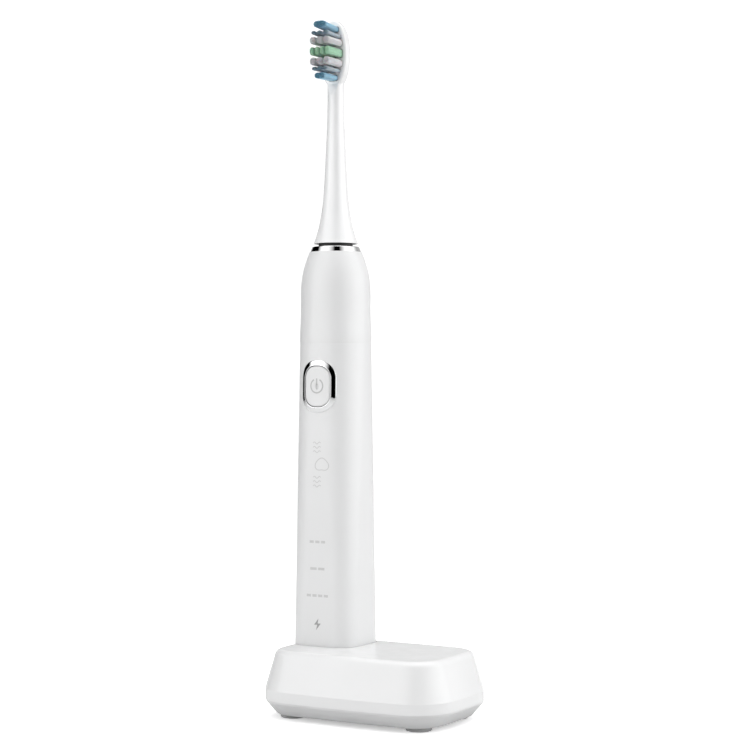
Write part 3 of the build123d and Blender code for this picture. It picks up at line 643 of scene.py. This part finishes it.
def handle_mark(name, draw, level):
    bm = bmesh.new()
    draw(bm)
    lay_on_skin(bm, lambda x, z: skin(x, z) - INK_LIFT)
    mark = to_object(name, bm, smooth=False)
    fit_out(mark, HANDLE, ink_finish(name.replace("_", " "), level))
    return mark


handle_foot = handle_low.z
FRONT_X = handle_axis.x
DASH_GAP, DASH_STEP, DASH_WIDTH = 0.7 * MM, 0.4 * MM, 1.0 * MM


def draw_bars(bm, height, lengths):
    """A row of short dashes centred on the handle's front."""
    total = sum(lengths) + DASH_GAP * (len(lengths) - 1)
    x = FRONT_X - total / 2
    z = handle_foot + height
    for length in lengths:
        steps = max(2, round(length / DASH_STEP))
        stroke(bm, [(x + length * step / steps, z) for step in range(steps + 1)], DASH_WIDTH)
        x += length + DASH_GAP


def draw_bolt(bm):
    """The common charging sign, as one flat polygon."""
    width, height = 3.0 * MM, 4.6 * MM
    shape = [(0.16, 1.0), (-0.5, -0.08), (-0.04, -0.08), (-0.2, -1.0), (0.5, 0.16), (0.05, 0.16)]
    centre_z = handle_foot + 10.2 * MM
    verts = [bm.verts.new((FRONT_X + x * width, 0, centre_z + z * height / 2)) for x, z in shape]
    bm.faces.new(verts)


def draw_waves(bm, height):
    for row in (-1, 0, 1):
        z = handle_foot + height + row * 1.7 * MM
        points = []
        for step in range(25):
            share = step / 24
            x = FRONT_X - 1.9 * MM + 3.4 * MM * share
            points.append((x, z + 0.38 * MM * math.sin(share * 3 * math.pi)))
        stroke(bm, points, 0.3 * MM)


def draw_drop(bm):
    centre = (FRONT_X + 2.0 * MM, handle_foot + 72.6 * MM)
    outline = []
    for step in range(60):
        turn = 2 * math.pi * step / 60
        pinch = 1 - 0.14 * math.cos(2 * turn) + 0.10 * math.cos(3 * turn)
        x = centre[0] + 2.6 * MM * pinch * math.sin(turn)
        z = centre[1] + 2.7 * MM * pinch * math.cos(turn)
        outline.append((x, z))
    stroke(bm, outline, 0.32 * MM, closed=True)


FAINT, CLEAR = 0.52, 0.30
MODE_ROWS = [(42.4, (1.9, 1.9, 1.9)), (31.9, (2.9, 2.9)), (21.4, (1.9, 1.9, 1.9, 1.9))]
for number, (height, lengths) in enumerate(MODE_ROWS, start=1):
    handle_mark(
        f"mode_mark_{number}",
        lambda bm: draw_bars(bm, height * MM, [length * MM for length in lengths]),
        FAINT,
    )
handle_mark("charge_mark", draw_bolt, CLEAR)
handle_mark("wave_mark_upper", lambda bm: draw_waves(bm, 79.3 * MM), FAINT)
handle_mark("drop_mark", draw_drop, FAINT)
handle_mark("wave_mark_lower", lambda bm: draw_waves(bm, 65.9 * MM), FAINT)

# %% [markdown]
# The power sign lies on the cap, not on the handle, so it is laid on the finished cap's face and rides
# on the button.

# %% Power sign on the button
def cap_front(x, z):
    """The cap's face, read from the finished cap."""
    hit = cap_tree.ray_cast(Vector((x, -0.1, z)), Vector((0, 1, 0)))[0]
    return hit.y - INK_LIFT


source = bmesh.new()
source.from_mesh(cap.data)
cap_tree = BVHTree.FromBMesh(source)
source.free()
bm = bmesh.new()
SIGN_RADIUS, SIGN_LINE = 2.7 * MM, 0.55 * MM
centre = (button_centre.x, button_centre.z + 0.2 * MM)
stroke(bm, arc(centre, SIGN_RADIUS, SIGN_RADIUS, 118, 422, 64), SIGN_LINE)
bar = [(centre[0], centre[1] + (0.25 + 0.38 * step) * MM) for step in range(8)]
stroke(bm, bar, SIGN_LINE)
lay_on_skin(bm, cap_front)
sign = to_object("power_sign", bm, smooth=False)
fit_out(sign, "button", ink_finish("power sign ink", 0.42))

# %% [markdown]
# ## Brush tufts
# A block could stand for a tuft, but a tuft is a few hundred filaments, each a fifth of a millimetre
# thick, whose ends make a soft rounded face. One filament is modelled with a rounded tip, then copied
# over a hexagonal grid inside the tuft's outline, with a little random lean and length. The outline and
# the lean of each tuft are read from its CAD solid.

# %% One filament
FILAMENT_RADIUS, FILAMENT_PITCH = 0.105 * MM, 0.225 * MM
random.seed(11)


def filament_template(bm):
    """A six-sided filament of unit length along +Z with a rounded tip."""
    made = bmesh.ops.create_circle(bm, cap_ends=False, radius=1, segments=6)["verts"]
    everything = list(made)
    ring_edges = edges_of(made)
    for rise, size in ((0.5, 1.0), (0.475, 1.0), (0.018, 0.8), (0.007, 0.6)):
        grown_ring = bmesh.ops.extrude_edge_only(bm, edges=ring_edges)["geom"]
        verts = [item for item in grown_ring if isinstance(item, bmesh.types.BMVert)]
        ring_edges = [item for item in grown_ring if isinstance(item, bmesh.types.BMEdge)]
        bmesh.ops.translate(bm, verts=verts, vec=(0, 0, rise))
        bmesh.ops.scale(bm, verts=verts, vec=(size, size, 1))
        everything += verts
    bmesh.ops.contextual_create(bm, geom=ring_edges)
    return everything


def place_of(points):
    """Where an island stands, to a tenth of a millimetre, from side to side and then upwards."""
    middle = sum(points, Vector()) / len(points)
    return round(middle.x / MM, 1), round(middle.z / MM, 1)


def islands(node):
    """The separate solids of a CAD node, as lists of points, in order of their place."""
    bm = bmesh.new()
    bm.from_mesh(node.data)
    bmesh.ops.remove_doubles(bm, verts=bm.verts, dist=1e-6)
    left, found = dict.fromkeys(bm.verts), []
    while left:
        stack, points = [left.popitem()[0]], []
        while stack:
            vert = stack.pop()
            points.append(vert.co.copy())
            for edge in vert.link_edges:
                other = edge.other_vert(vert)
                if other in left:
                    del left[other]
                    stack.append(other)
        found.append(points)
    bm.free()
    return sorted(found, key=place_of)


def tuft_ends(points):
    """Middle of a tuft's root, middle of its tip, and its outline's width and height."""
    front, back = min(p.y for p in points), max(p.y for p in points)
    split = (front + back) / 2
    tip = [p for p in points if p.y < split]
    root = [p for p in points if p.y >= split]
    size = [max(p[i] for p in tip) - min(p[i] for p in tip) for i in (0, 2)]
    return sum(root, Vector()) / len(root), sum(tip, Vector()) / len(tip), size


# %% [markdown]
# Each tuft's filaments start at the head's face and end at the tip of the tuft's CAD solid. Those near
# the outline are cut a little shorter, which rounds the end of the bundle.

# %% Fill the tufts
HEAD_FRONT = 2.0 * MM  # the head's face stands this far in front of the handle's axis
head_front = -HEAD_FRONT + handle_axis.y
TIP_ROUND, LENGTH_JITTER, LEAN_JITTER, SPLAY = 0.55 * MM, 0.12 * MM, 0.05 * MM, 0.05


def fill_tuft(bm, template, layer, root, tip, size):
    """Copies the filament over a hexagonal grid inside one tuft's rounded outline."""
    half_x, half_z = size[0] / 2 - FILAMENT_RADIUS, size[1] / 2 - FILAMENT_RADIUS
    run = tip - root
    start = root + run * ((head_front - root.y) / run.y)
    rows = math.ceil(half_z / (FILAMENT_PITCH * 0.866))
    columns = math.ceil(half_x / FILAMENT_PITCH) + 1
    count = 0
    for row in range(-rows, rows + 1):
        for column in range(-columns, columns + 1):
            x = (column + 0.5 * (row % 2)) * FILAMENT_PITCH
            z = row * FILAMENT_PITCH * 0.866
            out = (abs(x / half_x) ** 2.6 + abs(z / half_z) ** 2.6) ** (1 / 2.6)
            if out > 1:
                continue
            shorter = TIP_ROUND * out**4 + random.random() * LENGTH_JITTER
            lean = Vector((random.gauss(0, LEAN_JITTER), 0, random.gauss(0, LEAN_JITTER)))
            foot = start + Vector((x, 0, z))
            top = tip + Vector((x, 0, z)) * (1 + SPLAY) + lean
            limit_x, limit_z = size[0] / 2 - FILAMENT_RADIUS, size[1] / 2 - FILAMENT_RADIUS
            top.x = tip.x + max(-limit_x, min(limit_x, top.x - tip.x))
            top.z = tip.z + max(-limit_z, min(limit_z, top.z - tip.z))
            top += (foot - top).normalized() * shorter
            along = top - foot
            turn = along.to_track_quat("Z", "Y").to_matrix().to_4x4()
            shape = Matrix.Diagonal((FILAMENT_RADIUS, FILAMENT_RADIUS, along.length, 1))
            copy = bmesh.ops.duplicate(bm, geom=template)["geom"]
            verts = [item for item in copy if isinstance(item, bmesh.types.BMVert)]
            for vert in verts:
                vert[layer] = min(1.0, max(0.0, vert.co.z))
            bmesh.ops.transform(bm, matrix=Matrix.Translation(foot) @ turn @ shape, verts=verts)
            count += 1
    return count


for entry in frame["record"]["subparts"]:
    if not entry["node"].startswith("tuft_row"):
        continue
    bm = bmesh.new()
    layer = bm.verts.layers.float.new("along")
    filament_template(bm)
    template = list(bm.verts) + list(bm.edges) + list(bm.faces)
    first_verts = list(bm.verts)
    filaments = 0
    for points in islands(nodes[entry["node"]]):
        filaments += fill_tuft(bm, template, layer, *tuft_ends(points))
    bmesh.ops.delete(bm, geom=first_verts, context="VERTS")
    tufts = to_object(entry["node"].replace("tuft_row", "filaments"), bm)
    fit_out(tufts, "brush", finishes[entry["material_slot"]], [entry["node"]])
    print("   ", filaments, "filaments")

# %% [markdown]
# ## Studio
# White on white needs edges, so the light is shaped as a product photographer would shape it: a tent
# whose wall is bright at both sides and dark beside the camera. The dark part draws the soft band down
# the handle's corner and the black patches in the chrome, and two darker parts behind the object
# outline it. A white panel overhead lights everything that faces up.

# %% Floor
TABLE_WHITE = 0.76
TENT_RADIUS, CEILING_GLOW, WALL_TOP, FLOOR_GLOW = 1.6, 2.6, 0.62, 0.45
bm = bmesh.new()
bmesh.ops.create_circle(bm, cap_ends=True, radius=TENT_RADIUS, segments=128)
bmesh.ops.translate(bm, verts=bm.verts, vec=(handle_axis.x, handle_axis.y, cad_box[0][2]))
floor = to_object("floor", bm, smooth=False)
floor_material, tree, shader = shader_of("floor")
tone = spread(tree, noise(tree, object_place(tree), 3.0), 0.0, 1.0)
tree.links.new(blend_colours(tree, tone, grey(0.94), grey(0.93)), shader.inputs["Base Color"])
shader.inputs["Roughness"].default_value = 0.9
shader.inputs["Specular IOR Level"].default_value = 0.1
shader.inputs["Emission Color"].default_value = (1, 1, 1, 1)
shader.inputs["Emission Strength"].default_value = FLOOR_GLOW
floor.data.materials.append(floor_material)
floor.visible_diffuse = floor.visible_glossy = floor.visible_shadow = floor.visible_transmission = False

# %% [markdown]
# The floor glows a little, so that it stays white in the picture, but only the camera sees it. The light
# that comes up on the object from below is set apart, by a table that the camera doesn't see.

# %% Table under the floor
table_material, tree, shader = shader_of("table")
weave = noise(tree, object_place(tree), 40.0)
cloth = blend_colours(tree, weave, grey(TABLE_WHITE), grey(TABLE_WHITE * 0.97))
tree.links.new(cloth, shader.inputs["Base Color"])
shader.inputs["Roughness"].default_value = 0.9
shader.inputs["Specular IOR Level"].default_value = 0.1
bm = bmesh.new()
bmesh.ops.create_circle(bm, cap_ends=True, radius=TENT_RADIUS, segments=128)
bmesh.ops.translate(bm, verts=bm.verts, vec=(handle_axis.x, handle_axis.y, cad_box[0][2] - 0.1 * MM))
table = to_object("table", bm, smooth=False)
table.data.materials.append(table_material)
table.visible_camera = False
print("floor glows at", FLOOR_GLOW, "and the table's white is", TABLE_WHITE)

# %% [markdown]
# The wall carries three cloth panels: a large one on the right, a smaller one on the left and a dim one
# behind. A panel's edges fade like a quarter of a sine wave, so a highlight has no hard end. Angles are
# counted in degrees from the camera, and between the panels the wall is black.

# %% Tent wall and ceiling
# Each panel starts to glow, reaches its full glow, starts to fade and ends at these angles.
PANELS = {
    "left": ((-98, -70, -54, -5), 2.3),
    "right": ((22, 80, 86, 124), 2.75),
    "rear": ((112, 126, 200, 214), 0.55),
}
EDGE_STEPS = 3
FULL_TURN, HALF_TURN = 360, 180


def panel_glow(angles, glow, turn):
    """How bright one panel is at one angle."""
    start, full, fade, end = angles
    if not start < turn < end:
        return 0.0
    share = min(1.0, (turn - start) / (full - start), (end - turn) / (end - fade))
    return glow * math.sin(share * math.pi / 2)


def wall_glow(turn):
    """The wall's brightness at one angle, whichever way round it is counted."""
    turns = (turn, turn + FULL_TURN)
    return sum(panel_glow(*panel, at) for panel in PANELS.values() for at in turns)


def wall_stops():
    """The angles at which the ramp needs a stop: both ends, and a few along each panel's edges."""
    found = {-HALF_TURN, HALF_TURN}
    for (start, full, fade, end), _ in PANELS.values():
        for step in range(EDGE_STEPS + 1):
            share = step / EDGE_STEPS
            for turn in (start + (full - start) * share, fade + (end - fade) * share):
                found.add(turn - FULL_TURN if turn > HALF_TURN else turn)
    return [(turn, wall_glow(turn)) for turn in sorted(found)]


WALL = wall_stops()
FULL_GLOW = max(glow for _, glow in WALL)
world = bpy.data.worlds.new("backdrop")
bpy.context.scene.world = world
world.use_nodes = True
world.node_tree.nodes["Background"].inputs["Color"].default_value = (1, 1, 1, 1)
world.node_tree.nodes["Background"].inputs["Strength"].default_value = 1.1


def glowing(name, glow):
    """A material that gives light and reflects none."""
    material = bpy.data.materials.new(name)
    material.use_nodes = True
    tree = material.node_tree
    tree.nodes.remove(tree.nodes["Principled BSDF"])
    light = add(tree, "ShaderNodeEmission")
    light.inputs["Strength"].default_value = glow
    tree.links.new(light.outputs["Emission"], tree.nodes["Material Output"].inputs["Surface"])
    return material, tree, light


def set_up(name, bm, material):
    """Stands a piece of the tent round the handle, turned so that its own +X axis is the camera's side."""
    piece = to_object(name, bm, smooth=False)
    piece.location = handle_axis
    piece.rotation_euler = (0, 0, VIEW_TURN - math.pi / 2)
    piece.data.materials.append(material)
    piece.visible_camera = False
    return piece


wall_material, tree, light = glowing("tent wall", FULL_GLOW)
round_tent = add(tree, "ShaderNodeTexGradient", gradient_type="RADIAL")
place = tree.nodes.new("ShaderNodeTexCoord")
tree.links.new(place.outputs["Object"], round_tent.inputs["Vector"])
ramp = tree.nodes.new("ShaderNodeValToRGB")
stops = ramp.color_ramp.elements
while len(stops) < len(WALL):
    stops.new(1.0)
for stop, (turn, glow) in zip(stops, WALL):
    stop.position = turn / 360 + 0.5
    stop.color = grey(glow / FULL_GLOW)
tree.links.new(round_tent.outputs["Fac"], ramp.inputs["Fac"])
height = tree.nodes.new("ShaderNodeSeparateXYZ")
tree.links.new(place.outputs["Object"], height.inputs["Vector"])
fade = spread(tree, height.outputs["Z"], 1.0, WALL_TOP, 0.5, 1.0)
faded = add(tree, "ShaderNodeVectorMath", operation="SCALE")
tree.links.new(ramp.outputs["Color"], faded.inputs[0])
tree.links.new(fade, faded.inputs["Scale"])
tree.links.new(faded.outputs["Vector"], light.inputs["Color"])

bm = bmesh.new()
made = bmesh.ops.create_circle(bm, cap_ends=False, radius=TENT_RADIUS, segments=96)["verts"]
ring_edges = edges_of(made)
for low_turn, high_turn in ((0, 30), (30, 60)):
    low_turn, high_turn = math.radians(low_turn), math.radians(high_turn)
    grown_ring = bmesh.ops.extrude_edge_only(bm, edges=ring_edges)["geom"]
    verts = [item for item in grown_ring if isinstance(item, bmesh.types.BMVert)]
    ring_edges = [item for item in grown_ring if isinstance(item, bmesh.types.BMEdge)]
    bmesh.ops.translate(bm, verts=verts, vec=(0, 0, TENT_RADIUS * (math.sin(high_turn) - math.sin(low_turn))))
    shrink = math.cos(high_turn) / math.cos(low_turn)
    bmesh.ops.scale(bm, verts=verts, vec=(shrink, shrink, 1))
wall = set_up("tent_wall", bm, wall_material)

ceiling_material, tree, light = glowing("ceiling panel", CEILING_GLOW)
soft = noise(tree, object_place(tree), 2.0)
tree.links.new(blend_colours(tree, soft, grey(1.0), grey(0.96)), light.inputs["Color"])
bm = bmesh.new()
bmesh.ops.create_circle(bm, cap_ends=True, radius=TENT_RADIUS * 0.5, segments=96)
bmesh.ops.translate(bm, verts=bm.verts, vec=(0, 0, TENT_RADIUS * math.sin(math.radians(60))))
ceiling = set_up("tent_ceiling", bm, ceiling_material)
print("tent of", len(WALL), "wall levels, radius", TENT_RADIUS, "m")
